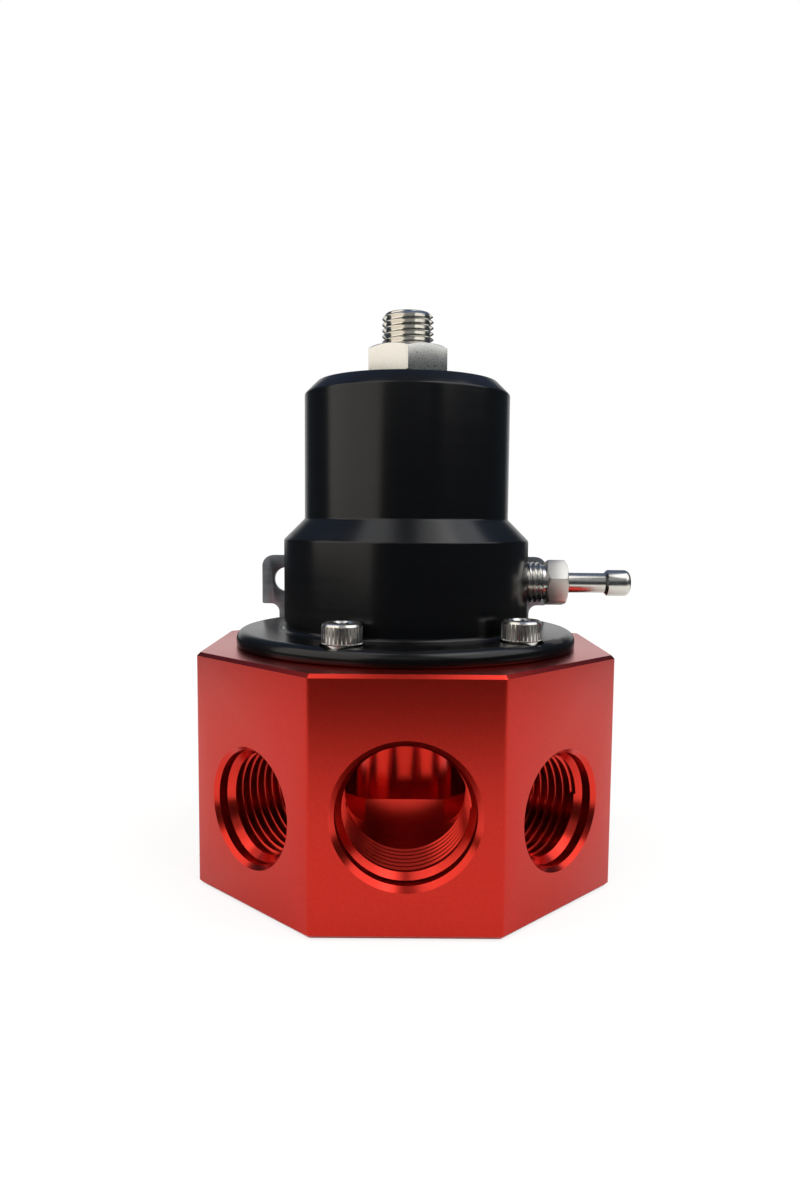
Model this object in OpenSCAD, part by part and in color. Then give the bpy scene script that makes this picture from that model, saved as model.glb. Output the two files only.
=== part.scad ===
// Bypass fuel pressure regulator. An octagonal billet body holds an inlet port, four outlet ports
// and a return port that all meet in one annular chamber around a standpipe. A bonnet clamps the
// diaphragm onto the body and holds the spring, and an adjusting screw with a jam nut loads it.
// Millimetres. The origin is the centre of the bottom face, +Z is up and the inlet faces -Y.

/* [Body] */
// Distance across the flats of the octagonal body
body_flats = 73; // [71:0.5:84]
// Height of the body
body_height = 41.5; // [39:0.5:52]
// Bevel along the top and bottom edges of the body
body_bevel = 0.6; // [0.2:0.1:1.2]
// Depth of the flat that breaks each upright edge
edge_break = 0.15; // [0.05:0.05:0.4]

/* [Chamber] */
// Radius of the fuel chamber
chamber_radius = 19.05; // [18:0.05:20.5]
// Height of the chamber floor above the base
chamber_floor = 16; // [15:0.25:19]
// Outer radius of the standpipe that carries the valve seat
standpipe_radius = 9.5; // [8.6:0.1:11]
// Wall of the standpipe around the shank of the valve seat
standpipe_wall = 2.45; // [1.8:0.05:2.8]
// Radius of the return passage in the standpipe
passage_radius = 4.6; // [3.6:0.1:5]

/* [Ports] */
// Radius of the inlet and return bores, at the root of their threads
inlet_radius = 11.1; // [10:0.05:11.6]
// Height of the inlet centre line above the base
inlet_height = 19.4; // [18.5:0.1:21]
// Radius of the four outlet bores, at the root of their threads
outlet_radius = 9.5; // [8.5:0.05:10]
// Height of the outlet centre lines above the base
outlet_height = 17.2; // [16:0.1:19]
// Bevel at the mouth of each port
mouth_bevel = 0.85; // [0.4:0.05:1.2]
// Depth of the threaded bore of the inlet
inlet_depth = 15; // [11:0.25:16]
// Depth of the threaded bores of the outlets
outlet_depth = 13.4; // [10:0.2:13.4]
// Height of the thread, so how much narrower the drilled end of a port is
thread_height = 0.95; // [0.5:0.05:1.2]
// Distance from the centre line of the body to the flat ends of the inlet and the front outlets
port_end = 16.7; // [15:0.1:17.5]
// How much shorter the two outlets square to the inlet are
square_outlet_step = 0.5; // [0.3:0.1:1]
// Depth of the threaded bore of the return port
return_depth = 11; // [8:0.25:12.5]
// Radius of the pipe-threaded gauge port
gauge_radius = 4.9; // [4:0.1:6]
// Height of the gauge port above the base
gauge_height = 22; // [20:0.5:26]

/* [Diaphragm and valve] */
// Thickness of the diaphragm
diaphragm_thickness = 1; // [0.6:0.1:1.4]
// Width of the diaphragm's rim that the bonnet clamps
diaphragm_grip = 6; // [5:0.1:6.5]
// Width of the free fold between the plates and the clamped rim
fold_width = 4; // [3.4:0.1:5]
// Thickness of the two plates that clamp the middle of the diaphragm
plate_thickness = 2; // [1.5:0.1:2.6]
// Radius of the stem that holds the plates together
stem_radius = 3; // [2.5:0.1:3.6]
// Distance across the flats of the nut on the stem
stem_nut_flats = 10; // [9:0.5:12]
// Height of the nut on the stem
stem_nut_height = 5; // [3.5:0.25:6]
// Radius of the valve disc
disc_radius = 5.9; // [5.4:0.1:6.4]
// Thickness of the valve disc
disc_thickness = 2; // [1.6:0.1:2.6]
// How far the valve disc stands out of its holder
disc_stand = 0.6; // [0.3:0.1:0.9]
// Height of the holder below the lower plate
holder_height = 2.7; // [2.4:0.1:3.6]
// Radius of the orifice in the valve seat
orifice_radius = 3.6; // [2.6:0.1:4]
// Height of the valve seat above the top of the standpipe
seat_stand = 2.2; // [1.6:0.1:3]
// Length of the seat's shank inside the standpipe
seat_shank = 6; // [5:0.25:8]

/* [Bonnet] */
// Height of the bonnet above the body
bonnet_height = 48.5; // [46:0.5:58]
// Thickness of the bonnet's flange
flange_thickness = 2.9; // [2.7:0.1:4]
// Rounding of the flange's upper edge
flange_round = 2.4; // [1:0.1:2.4]
// Width of the flange outside the screw heads
flange_margin = 0.9; // [0.4:0.1:1.6]
// Height of the wide skirt above the body, up to the cone
skirt_height = 19.5; // [17.5:0.5:24]
// Wall of the tower around the spring
tower_wall = 3.45; // [2.5:0.05:3.6]
// Bevel at the top of the tower
tower_bevel = 2.4; // [1:0.1:3]
// Thickness of the bonnet's roof
roof_thickness = 5; // [4:0.25:5.5]

/* [Spring] */
// Radius of the spring's coil, to the middle of the wire
spring_coil_radius = 11.9; // [11.4:0.1:12.4]
// Radius of the spring wire
spring_wire_radius = 1.5; // [1.1:0.05:1.7]
// Number of turns of the spring
spring_turns = 7; // [5:1:8]
// Room between the spring and the wall of the tower
spring_room = 2.2; // [1.4:0.1:2.6]

/* [Adjuster] */
// Radius of the adjusting screw
adjuster_radius = 4.76; // [4:0.02:5.2]
// Length of the adjusting screw
adjuster_length = 26.4; // [25:0.2:33]
// How far the adjusting screw stands above the bonnet
adjuster_stand = 12.6; // [9:0.2:13]
// Distance across the flats of the jam nut
nut_flats = 14.29; // [13:0.01:16]
// Height of the jam nut
nut_height = 5.56; // [4.5:0.02:6.5]
// Radius of the sealing washer under the jam nut
washer_radius = 7; // [6.2:0.1:8]
// Thickness of the sealing washer
washer_thickness = 0.8; // [0.5:0.1:1.4]

/* [Cap screws] */
// Radius of the cap screws that hold the bonnet
cap_screw_radius = 2.05; // [1.7:0.05:2.3]
// Radius of a cap screw's head
cap_head_radius = 3.35; // [3:0.05:3.7]
// Height of a cap screw's head
cap_head_height = 4.2; // [3:0.1:5]
// Length of a cap screw below its head
cap_screw_length = 12.7; // [9:0.1:16]
// Bearing of the first pair of cap screws from the inlet
cap_bearing_a = -22.5; // [-30:0.5:-15]
// Bearing of the second pair of cap screws from the inlet
cap_bearing_b = 45; // [38:0.5:52]

/* [Reference nipple] */
// Height of the nipple above the body
nipple_height = 11.6; // [10:0.1:13]
// Radius of the nipple's pipe thread
nipple_thread_radius = 3.85; // [3.2:0.05:4.4]
// Distance across the flats of the nipple's hexagon
nipple_flats = 7.94; // [7:0.02:9.5]
// Length of the nipple's hexagon
nipple_hex_length = 3.9; // [3:0.1:6]
// Distance from the skirt to the hexagon
nipple_standoff = 3.5; // [2.6:0.1:6]
// Radius of the nipple's tube
nipple_tube_radius = 1.9; // [1.7:0.05:2.2]
// Length of the nipple's tube
nipple_tube_length = 7.3; // [5:0.1:12]
// Radius of the barb
barb_radius = 2.5; // [2.4:0.05:3]
// Length of the barb
barb_length = 4.9; // [4:0.1:7]
// Radius of the nipple's bore
nipple_bore_radius = 1.1; // [0.8:0.05:1.3]

/* [Bracket] */
// Thickness of the bracket
bracket_thickness = 1.9; // [1.2:0.1:3]
// Distance between the two mounting holes
bracket_hole_spacing = 54.4; // [53:0.2:64]
// Radius of the mounting holes
bracket_hole_radius = 2.8; // [2.2:0.1:3.6]
// Height of the mounting holes above the body
bracket_hole_height = 9.3; // [8.5:0.1:14]
// Width of metal around each mounting hole
ear_rim = 5.6; // [5:0.1:7]
// Width of the bracket below its ears
bracket_width = 57.8; // [50:0.2:60]
// Height of the bracket's lower edge above the base
bracket_bottom = 12; // [8:0.5:16]
// Distance between the two screws that hold the bracket
bracket_screw_spacing = 18; // [14:0.5:20]
// Height of the bracket's screws above the base
bracket_screw_height = 24; // [20:0.5:28]
// Radius of the bracket's screws
bracket_screw_radius = 2.4; // [2:0.1:2.8]

/* [Hidden] */
$fn = 96;

// Clearances: a running fit, a loose hole, and the overshoot of a cut past the face that it opens
running_gap = 0.05;
loose_gap = 0.15;
overshoot = 1;

// Octagon
sides = 8;
side_turn = 360 / sides;
face = body_flats / 2;
corner = face / cos(side_turn / 2);
front_outlets = [-45, 45];
square_outlets = [-90, 90];
gauge_bearing = 135;
bracket_bearing = 180;

// Radii that follow from the chamber outwards
recess_radius = chamber_radius + diaphragm_grip + loose_gap;
diaphragm_radius = chamber_radius + diaphragm_grip;
screw_land = 0.25;
screw_circle = recess_radius + cap_screw_radius + screw_land;
flange_radius = screw_circle + cap_head_radius + flange_margin;
head_room = 1.25;
skirt_radius = screw_circle - cap_head_radius - head_room;
cap_bearings = [cap_bearing_a, cap_bearing_b, cap_bearing_a + 180, cap_bearing_b + 180];
spotface_depth = 0.5;
spotface_room = 0.4;
head_seat = body_height + flange_thickness - spotface_depth;
foot_fillet = 0.8;
rim_bevel = 0.3;

// Levels that follow from the diaphragm downwards
diaphragm_bottom = body_height - diaphragm_thickness;
lower_plate_radius = chamber_radius - fold_width - running_gap;
lower_plate_bottom = diaphragm_bottom - plate_thickness;
holder_bottom = lower_plate_bottom - holder_height;
seat_top = holder_bottom - disc_stand;
pocket_top = seat_top + disc_thickness;
pocket_radius = disc_radius + running_gap;
holder_wall = 1.4;
holder_radius = pocket_radius + holder_wall;
standpipe_top = seat_top - seat_stand;
shank_bore = standpipe_radius - standpipe_wall;
shank_radius = shank_bore - running_gap;
shank_bottom = standpipe_top - seat_shank;
seat_flange = 1.2;
seat_flange_step = 0.8;
seat_flange_radius = standpipe_radius - seat_flange_step;
lip_width = 0.8;
nozzle_radius = orifice_radius + lip_width;
groove_width = 2;
groove_depth = 1.5;
groove_rise = 1.8;
groove_bottom = shank_bottom + groove_rise;

// Levels that follow from the diaphragm upwards
upper_plate_top = body_height + plate_thickness;
spring_outer_radius = spring_coil_radius + spring_wire_radius;
upper_plate_margin = 0.9;
upper_plate_radius = spring_outer_radius + upper_plate_margin;
pilot_gap = 0.4;
pilot_radius = spring_coil_radius - spring_wire_radius - pilot_gap;
pilot_height = 2.5;
stem_nut_bottom = upper_plate_top + pilot_height;
stem_end = 1.5;
stem_top = stem_nut_bottom + stem_nut_height + stem_end;
lift_room = 3;
plate_room = plate_thickness + lift_room;

// Bonnet and adjuster
spring_bore_radius = spring_outer_radius + spring_room;
tower_radius = spring_bore_radius + tower_wall;
bonnet_top = body_height + bonnet_height;
adjuster_top = bonnet_top + adjuster_stand;
adjuster_bottom = adjuster_top - adjuster_length;
adjuster_bore = adjuster_radius + running_gap;
adjuster_bevel = 0.7;
adjuster_key_flats = 4.76;
adjuster_key_depth = 5;
button_gap = 0.3;
button_radius = spring_bore_radius - button_gap;
button_floor = 1.2;
button_plate = 3;
button_bottom = adjuster_bottom - button_floor - button_plate;
button_hub_wall = 2.3;
button_hub_radius = adjuster_radius + button_hub_wall;
button_socket_depth = 2;
spring_seat_gap = 0.1;

// Nipple, measured outwards from the centre line of the body
nipple_z = body_height + nipple_height;
nipple_recess = 0.5;
nipple_inner = spring_bore_radius + nipple_recess;
nipple_hex_start = skirt_radius + nipple_standoff;
nipple_neck_length = 1.2;
nipple_neck_step = 0.6;
nipple_neck_radius = nipple_thread_radius - nipple_neck_step;
nipple_tube_start = nipple_hex_start + nipple_hex_length;
barb_start = nipple_tube_start + nipple_tube_length;
barb_shoulder = 0.5;
barb_round = 1.2;
nipple_hex_turn = 17;

// Bracket and its screws
ear_top_round = 2.5;
bracket_corner = 6;
bracket_notch_width = 36;
bracket_notch_drop = 6;
bracket_notch_floor = body_height - bracket_notch_drop;
bracket_hole_z = body_height + bracket_hole_height;
bracket_back = face + bracket_thickness;
bracket_washer_thickness = 1.2;
bracket_washer_margin = 2;
bracket_washer_radius = bracket_screw_radius + bracket_washer_margin;
bracket_head_margin = 1.8;
bracket_head_radius = bracket_screw_radius + bracket_head_margin;
bracket_head_height = 2.6;
bracket_screw_depth = 9;

// Gauge port and its plug
gauge_depth = 10;
gauge_passage_radius = 2.4;
plug_length = 7;

// Cut for one port, opening towards +Z: a bevelled mouth, a threaded bore and a narrower drilled end
module port_cut(bore_radius, bore_depth, depth) {
    end_radius = bore_radius - thread_height;
    rotate_extrude()
        polygon([
            [0, overshoot],
            [bore_radius + mouth_bevel, overshoot],
            [bore_radius + mouth_bevel, 0],
            [bore_radius, -mouth_bevel],
            [bore_radius, -bore_depth],
            [end_radius, -bore_depth - thread_height],
            [end_radius, -depth],
            [0, -depth]
        ]);
}

// Places its children on a side face of the body, at a bearing from the inlet, with +Z outwards
module on_face(bearing, height) {
    rotate([0, 0, bearing])
        translate([0, -face, height])
            rotate([90, 0, 0])
                children();
}

// Hexagonal prism given by its flats, with a corner on +X
module hexagon(flats, height) {
    cylinder(r = flats / 2 / cos(30), h = height, $fn = 6);
}

// Octagonal billet: a prism whose top, bottom and upright edges are cut by steeper and turned prisms
module octagon_block() {
    bevel_corner = corner - body_bevel / cos(side_turn / 2);
    spread_corner = bevel_corner + body_height / cos(side_turn / 2);
    intersection() {
        rotate([0, 0, side_turn / 2])
            cylinder(r = corner, h = body_height, $fn = sides);
        rotate([0, 0, side_turn / 2])
            cylinder(r1 = bevel_corner, r2 = spread_corner, h = body_height, $fn = sides);
        rotate([0, 0, side_turn / 2])
            cylinder(r1 = spread_corner, r2 = bevel_corner, h = body_height, $fn = sides);
        cylinder(r = (corner - edge_break) / cos(side_turn / 2), h = body_height, $fn = sides);
    }
}

// The turned inside of the body: return port, passage, standpipe, annular chamber and diaphragm recess
module core_cut() {
    taper = inlet_radius - passage_radius;
    rotate_extrude()
        polygon([
            [0, -overshoot],
            [inlet_radius + mouth_bevel, -overshoot],
            [inlet_radius + mouth_bevel, 0],
            [inlet_radius, mouth_bevel],
            [inlet_radius, return_depth],
            [passage_radius, return_depth + taper * tan(31)],
            [passage_radius, shank_bottom],
            [shank_bore, shank_bottom],
            [shank_bore, standpipe_top],
            [standpipe_radius, standpipe_top],
            [standpipe_radius, chamber_floor],
            [chamber_radius, chamber_floor],
            [chamber_radius, diaphragm_bottom],
            [recess_radius, diaphragm_bottom],
            [recess_radius, body_height + overshoot],
            [0, body_height + overshoot]
        ]);
}

// Red anodised manifold block
module body() {
    color("#b83830")
        difference() {
            octagon_block();
            core_cut();
            on_face(0, inlet_height)
                port_cut(inlet_radius, inlet_depth, face - port_end);
            for (bearing = front_outlets)
                on_face(bearing, outlet_height)
                    port_cut(outlet_radius, outlet_depth, face - port_end);
            for (bearing = square_outlets)
                on_face(bearing, outlet_height)
                    port_cut(outlet_radius, outlet_depth, face - port_end - square_outlet_step);
            on_face(gauge_bearing, gauge_height) {
                translate([0, 0, -gauge_depth])
                    cylinder(r = gauge_radius, h = gauge_depth + overshoot);
                translate([0, 0, chamber_radius - face - overshoot])
                    cylinder(r = gauge_passage_radius, h = face - chamber_radius);
            }
            for (bearing = cap_bearings)
                rotate([0, 0, bearing])
                    translate([0, -screw_circle, head_seat - cap_screw_length - overshoot])
                        cylinder(r = cap_screw_radius + running_gap, h = cap_screw_length);
            for (side = [-1, 1])
                on_face(bracket_bearing, bracket_screw_height)
                    translate([side * bracket_screw_spacing / 2, 0, -bracket_screw_depth - overshoot])
                        cylinder(r = bracket_screw_radius + running_gap, h = bracket_screw_depth + 2 * overshoot);
        }
}

// Stainless seat with a raised lip round its orifice and a groove for its sealing ring
module valve_seat() {
    color("#c9c6bf")
        rotate_extrude()
            polygon([
                [orifice_radius, shank_bottom],
                [shank_radius, shank_bottom],
                [shank_radius, groove_bottom],
                [shank_radius - groove_depth, groove_bottom],
                [shank_radius - groove_depth, groove_bottom + groove_width],
                [shank_radius, groove_bottom + groove_width],
                [shank_radius, standpipe_top],
                [seat_flange_radius, standpipe_top],
                [seat_flange_radius, standpipe_top + seat_flange],
                [nozzle_radius, standpipe_top + seat_flange],
                [nozzle_radius, seat_top],
                [orifice_radius, seat_top]
            ]);
}

// Rubber ring in the groove of the seat, squeezed between the groove and the standpipe
module seat_ring() {
    section = (groove_depth + running_gap) / 2;
    color("#1c1c1c")
        translate([0, 0, groove_bottom + groove_width / 2])
            rotate_extrude()
                translate([shank_bore - section, 0])
                    circle(r = section - running_gap / 2);
}

// Flat valve disc that closes the seat
module valve_disc() {
    color("#2b2b2b")
        translate([0, 0, seat_top])
            cylinder(r = disc_radius, h = disc_thickness);
}

// Lower diaphragm plate with the pocket for the valve disc below and the threaded stem above
module valve_holder() {
    stem_bevel = 0.5;
    color("#c8b560")
        rotate_extrude()
            polygon([
                [0, pocket_top],
                [pocket_radius, pocket_top],
                [pocket_radius, holder_bottom],
                [holder_radius, holder_bottom],
                [holder_radius, lower_plate_bottom],
                [lower_plate_radius, lower_plate_bottom],
                [lower_plate_radius, diaphragm_bottom],
                [stem_radius, diaphragm_bottom],
                [stem_radius, stem_top - stem_bevel],
                [stem_radius - stem_bevel, stem_top],
                [0, stem_top]
            ]);
}

// Fabric-reinforced rubber diaphragm with one fold that arches up between the plates and the rim
module diaphragm() {
    fold_middle = chamber_radius - running_gap - fold_width / 2;
    fold_outer = fold_width / 2;
    fold_inner = fold_outer - diaphragm_thickness;
    color("#3a2f2a")
        translate([0, 0, diaphragm_bottom])
            rotate_extrude()
                difference() {
                    union() {
                        translate([stem_radius + running_gap, 0])
                            square([diaphragm_radius - stem_radius - running_gap, diaphragm_thickness]);
                        intersection() {
                            translate([fold_middle, 0])
                                circle(r = fold_outer);
                            translate([fold_middle - fold_outer, 0])
                                square([2 * fold_outer, fold_outer]);
                        }
                    }
                    translate([fold_middle, 0])
                        circle(r = fold_inner);
                }
}

// Upper diaphragm plate with the pilot that centres the spring
module upper_plate() {
    color("#b9bcc0")
        rotate_extrude()
            polygon([
                [stem_radius + running_gap, body_height],
                [upper_plate_radius, body_height],
                [upper_plate_radius, upper_plate_top],
                [pilot_radius, upper_plate_top],
                [pilot_radius, stem_nut_bottom],
                [stem_radius + running_gap, stem_nut_bottom]
            ]);
}

// Nut that pulls the two plates together
module stem_nut() {
    color("#a9acb0")
        translate([0, 0, stem_nut_bottom])
            difference() {
                hexagon(stem_nut_flats, stem_nut_height);
                translate([0, 0, -overshoot])
                    cylinder(r = stem_radius + running_gap, h = stem_nut_height + 2 * overshoot);
            }
}

// Height of the wire's middle after some turns: the end turns lie closed and the others climb evenly
function spring_climb(turn, first, last) =
    let (wire = 2 * spring_wire_radius)
    let (free = last - first - 2 * wire)
    turn < 1 ? first + wire * turn
    : turn > spring_turns - 1 ? last - wire * (spring_turns - turn)
    : first + wire + free * (turn - 1) / (spring_turns - 2);

// Helical compression spring between the upper plate and the spring button
module main_spring() {
    wire_sides = 8;
    steps = 20;
    rings = spring_turns * steps;
    first = upper_plate_top + spring_seat_gap + spring_wire_radius;
    last = button_bottom - spring_seat_gap - spring_wire_radius;
    points = [
        for (i = [0:rings])
            let (turn = i / steps)
            let (middle = spring_climb(turn, first, last))
            for (j = [0:wire_sides - 1])
                let (swing = 360 * j / wire_sides)
                let (radius = spring_coil_radius + spring_wire_radius * cos(swing))
                [radius * cos(360 * turn), radius * sin(360 * turn), middle + spring_wire_radius * sin(swing)]
    ];
    walls = [
        for (i = [0:rings - 1])
            for (j = [0:wire_sides - 1])
                let (k = (j + 1) % wire_sides)
                [i * wire_sides + j, i * wire_sides + k, (i + 1) * wire_sides + k, (i + 1) * wire_sides + j]
    ];
    start_cap = [for (j = [wire_sides - 1:-1:0]) j];
    end_cap = [for (j = [0:wire_sides - 1]) rings * wire_sides + j];
    color("#8f949a")
        polyhedron(points = points, faces = concat(walls, [start_cap, end_cap]));
}

// Spring button: it presses on the spring, and the adjusting screw turns in its socket
module spring_button() {
    color("#b4b7ba")
        rotate_extrude()
            polygon([
                [0, button_bottom - pilot_height],
                [pilot_radius, button_bottom - pilot_height],
                [pilot_radius, button_bottom],
                [button_radius, button_bottom],
                [button_radius, button_bottom + button_plate],
                [button_hub_radius, button_bottom + button_plate],
                [button_hub_radius, adjuster_bottom + button_socket_depth],
                [adjuster_radius + loose_gap, adjuster_bottom + button_socket_depth],
                [adjuster_radius + loose_gap, adjuster_bottom],
                [0, adjuster_bottom]
            ]);
}

// Adjusting screw with bevelled ends and a hexagonal key socket
module adjusting_screw() {
    color("#9a9ea3")
        difference() {
            rotate_extrude()
                polygon([
                    [0, adjuster_bottom],
                    [adjuster_radius - adjuster_bevel, adjuster_bottom],
                    [adjuster_radius, adjuster_bottom + adjuster_bevel],
                    [adjuster_radius, adjuster_top - adjuster_bevel],
                    [adjuster_radius - adjuster_bevel, adjuster_top],
                    [0, adjuster_top]
                ]);
            translate([0, 0, adjuster_top - adjuster_key_depth])
                hexagon(adjuster_key_flats, adjuster_key_depth + overshoot);
        }
}

// Sealing washer that grips the screw's thread under the jam nut
module seal_washer() {
    color("#d8d8d4")
        translate([0, 0, bonnet_top])
            difference() {
                cylinder(r = washer_radius, h = washer_thickness);
                translate([0, 0, -overshoot])
                    cylinder(r = adjuster_bore, h = washer_thickness + 2 * overshoot);
            }
}

// Jam nut with both ends bevelled and a corner towards the inlet
module jam_nut() {
    nut_corner = nut_flats / 2 / cos(30);
    bevel_radius = nut_flats / 2 - 0.1;
    rise = (nut_corner + overshoot - bevel_radius) * tan(30);
    color("#a3a7ab")
        translate([0, 0, bonnet_top + washer_thickness])
            difference() {
                intersection() {
                    rotate([0, 0, 30])
                        hexagon(nut_flats, nut_height);
                    rotate_extrude()
                        polygon([
                            [0, 0],
                            [bevel_radius, 0],
                            [nut_corner + overshoot, rise],
                            [nut_corner + overshoot, nut_height - rise],
                            [bevel_radius, nut_height],
                            [0, nut_height]
                        ]);
                }
                translate([0, 0, -overshoot])
                    cylinder(r = adjuster_bore, h = nut_height + 2 * overshoot);
            }
}

// Outline of the turned bonnet: rounded flange, skirt with a fillet at its foot, cone and bevelled tower
module bonnet_outline() {
    cone_top = skirt_height + skirt_radius - tower_radius;
    polygon([
        [0, 0],
        [flange_radius - rim_bevel, 0],
        [flange_radius, rim_bevel],
        [flange_radius, flange_thickness - flange_round],
        [flange_radius - flange_round, flange_thickness - flange_round],
        [flange_radius - flange_round, flange_thickness],
        [skirt_radius, flange_thickness],
        [skirt_radius, skirt_height],
        [tower_radius, cone_top],
        [tower_radius, bonnet_height - tower_bevel],
        [tower_radius - tower_bevel, bonnet_height],
        [0, bonnet_height]
    ]);
    translate([flange_radius - flange_round, flange_thickness - flange_round])
        intersection() {
            circle(r = flange_round);
            square(flange_round);
        }
    translate([skirt_radius, flange_thickness])
        difference() {
            square(foot_fillet);
            translate([foot_fillet, foot_fillet])
                circle(r = foot_fillet);
        }
}

// Black anodised bonnet, turned from one bar
module bonnet() {
    color("#17181a")
        difference() {
            translate([0, 0, body_height])
                rotate_extrude()
                    difference() {
                        bonnet_outline();
                        translate([0, -overshoot])
                            square([chamber_radius, plate_room + overshoot]);
                        square([spring_bore_radius, bonnet_height - roof_thickness]);
                        square([adjuster_bore, bonnet_height + overshoot]);
                    }
            for (bearing = cap_bearings)
                rotate([0, 0, bearing])
                    translate([0, -screw_circle, 0]) {
                        translate([0, 0, body_height - overshoot])
                            cylinder(r = cap_screw_radius + loose_gap, h = flange_thickness + 2 * overshoot);
                        translate([0, 0, head_seat])
                            cylinder(r = cap_head_radius + spotface_room, h = cap_head_height);
                    }
            translate([0, 0, nipple_z])
                rotate([0, 90, 0])
                    cylinder(r = nipple_thread_radius + running_gap, h = skirt_radius + overshoot);
        }
}

// Socket head cap screws, heads in the spotfaces of the flange
module cap_screws() {
    head_bevel = 0.4;
    key_flats = 3.57;
    key_depth = 2;
    color("#b9bbbd")
        for (bearing = cap_bearings)
            rotate([0, 0, bearing])
                translate([0, -screw_circle, head_seat])
                    difference() {
                        rotate_extrude()
                            polygon([
                                [0, -cap_screw_length],
                                [cap_screw_radius - head_bevel, -cap_screw_length],
                                [cap_screw_radius, head_bevel - cap_screw_length],
                                [cap_screw_radius, 0],
                                [cap_head_radius, 0],
                                [cap_head_radius, cap_head_height - head_bevel],
                                [cap_head_radius - head_bevel, cap_head_height],
                                [0, cap_head_height]
                            ]);
                        translate([0, 0, cap_head_height - key_depth])
                            hexagon(key_flats, key_depth + overshoot);
                    }
}

// Reference nipple: pipe thread, hexagon, tube and hose barb turned from one bar, drilled through
module reference_nipple() {
    thread_end = nipple_hex_start - nipple_neck_length;
    barb_end = barb_start + barb_length;
    color("#c2c4c6")
        translate([0, 0, nipple_z])
            rotate([0, 90, 0])
                difference() {
                    union() {
                        rotate_extrude()
                            polygon([
                                [0, nipple_inner],
                                [nipple_thread_radius, nipple_inner],
                                [nipple_thread_radius, thread_end],
                                [nipple_neck_radius, thread_end],
                                [nipple_neck_radius, nipple_hex_start],
                                [nipple_tube_radius, nipple_hex_start],
                                [nipple_tube_radius, barb_start],
                                [barb_radius, barb_start + barb_shoulder],
                                [barb_radius, barb_end - barb_round],
                                [barb_radius - barb_round, barb_end],
                                [0, barb_end]
                            ]);
                        translate([0, 0, barb_end - barb_round])
                            rotate_extrude()
                                translate([barb_radius - barb_round, 0])
                                    intersection() {
                                        circle(r = barb_round);
                                        square(barb_round);
                                    }
                        translate([0, 0, nipple_hex_start])
                            rotate([0, 0, nipple_hex_turn])
                                hexagon(nipple_flats, nipple_hex_length);
                    }
                    cylinder(r = nipple_bore_radius, h = barb_end + overshoot);
                }
}

// Half outline of the bracket, right of its middle, drawn with Y for height
module bracket_half() {
    ear_outer = bracket_hole_spacing / 2 + ear_rim;
    ear_top = bracket_hole_z + ear_rim;
    ear_bottom = bracket_hole_z - ear_rim;
    leg = bracket_width / 2;
    step = ear_outer - leg;
    difference() {
        union() {
            translate([0, bracket_bottom])
                square([leg - bracket_corner, bracket_corner]);
            translate([leg - bracket_corner, bracket_bottom + bracket_corner])
                circle(r = bracket_corner);
            translate([0, bracket_bottom + bracket_corner])
                square([leg, ear_bottom - bracket_bottom - bracket_corner]);
            translate([0, ear_bottom])
                square([ear_outer, ear_top - ear_bottom - ear_top_round]);
            translate([0, ear_bottom])
                square([ear_outer - ear_top_round, ear_top - ear_bottom]);
            translate([ear_outer - ear_top_round, ear_top - ear_top_round])
                circle(r = ear_top_round);
            translate([leg, ear_bottom - step / 2])
                difference() {
                    square(step / 2);
                    translate([step / 2, 0])
                        circle(r = step / 2);
                }
        }
        translate([0, bracket_notch_floor + bracket_corner])
            square([bracket_notch_width / 2, ear_top]);
        translate([0, bracket_notch_floor])
            square([bracket_notch_width / 2 - bracket_corner, bracket_corner + overshoot]);
        translate([bracket_notch_width / 2 - bracket_corner, bracket_notch_floor + bracket_corner])
            circle(r = bracket_corner);
        translate([bracket_hole_spacing / 2, bracket_hole_z])
            circle(r = bracket_hole_radius);
        translate([bracket_screw_spacing / 2, bracket_screw_height])
            circle(r = bracket_screw_radius + loose_gap);
    }
}

// Zinc plated steel bracket against the back face, with two ears beside the bonnet
module bracket() {
    color("#7d8084")
        translate([0, bracket_back, 0])
            rotate([90, 0, 0])
                linear_extrude(height = bracket_thickness) {
                    bracket_half();
                    mirror([1, 0])
                        bracket_half();
                }
}

// Washers under the heads of the bracket's screws
module bracket_washers() {
    color("#a4a7aa")
        for (side = [-1, 1])
            on_face(bracket_bearing, bracket_screw_height)
                translate([side * bracket_screw_spacing / 2, 0, bracket_thickness])
                    difference() {
                        cylinder(r = bracket_washer_radius, h = bracket_washer_thickness);
                        translate([0, 0, -overshoot])
                            cylinder(r = bracket_screw_radius + loose_gap, h = bracket_washer_thickness + 2 * overshoot);
                    }
}

// Button head screws that hold the bracket to the body
module bracket_screws() {
    head_edge = 0.8;
    key_flats = 3.18;
    key_depth = 1.6;
    head_seat_height = bracket_thickness + bracket_washer_thickness;
    color("#8d9094")
        for (side = [-1, 1])
            on_face(bracket_bearing, bracket_screw_height)
                translate([side * bracket_screw_spacing / 2, 0, head_seat_height])
                    difference() {
                        rotate_extrude()
                            polygon([
                                [0, -head_seat_height - bracket_screw_depth],
                                [bracket_screw_radius, -head_seat_height - bracket_screw_depth],
                                [bracket_screw_radius, 0],
                                [bracket_head_radius, 0],
                                [bracket_head_radius, head_edge],
                                [bracket_screw_radius, bracket_head_height],
                                [0, bracket_head_height]
                            ]);
                        translate([0, 0, bracket_head_height - key_depth])
                            hexagon(key_flats, key_depth + overshoot);
                    }
}

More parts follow.
